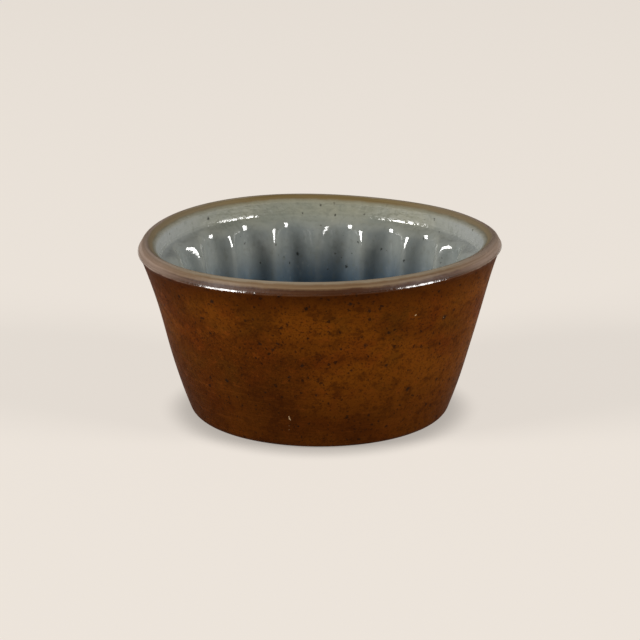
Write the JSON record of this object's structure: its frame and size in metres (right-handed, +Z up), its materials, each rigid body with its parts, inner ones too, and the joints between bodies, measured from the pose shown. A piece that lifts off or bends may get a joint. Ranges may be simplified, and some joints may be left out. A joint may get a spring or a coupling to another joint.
{
  "type": "stoneware jelly mould",
  "caption": "Flared round stoneware mould with a smooth outside, a rounded rim and a fluted inside that shapes a jelly or pudding.",
  "frame": {"origin": "centre of the base, on the ground", "axes": "+Z up out of the mouth of the mould; the flutes repeat round it, so +X and +Y are free choices, with -Y toward the viewer of the picture"},
  "size_m": [0.18, 0.18, 0.0895],
  "materials": {
    "salt_glaze": "gloss"
  },
  "bodies": {
    "root": {"mould": "salt_glaze"}
  },
  "joints": []
}
